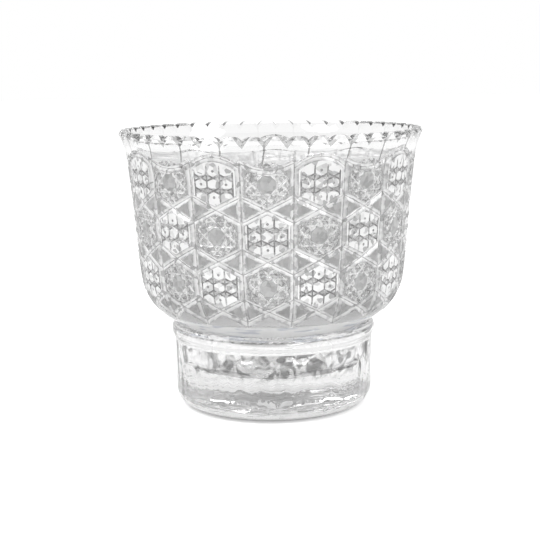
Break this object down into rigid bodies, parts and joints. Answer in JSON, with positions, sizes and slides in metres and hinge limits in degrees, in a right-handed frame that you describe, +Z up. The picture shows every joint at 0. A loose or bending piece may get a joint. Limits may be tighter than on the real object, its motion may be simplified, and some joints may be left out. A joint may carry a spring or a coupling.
{
  "type": "footed vase",
  "caption": "Footed vase of cut clear crystal: a flared bowl with a saw-tooth rim and a lattice of star and lace panels, on a thick drum foot.",
  "frame": {"origin": "middle of the flat base that the vase stands on", "axes": "+Z up through the mouth, -Y towards the picture's camera"},
  "size_m": [0.18, 0.18, 0.166],
  "materials": {
    "clear_crystal": "clear cut and polished lead crystal"
  },
  "bodies": {
    "root": {"bowl": "clear_crystal", "foot": "clear_crystal"}
  },
  "joints": []
}
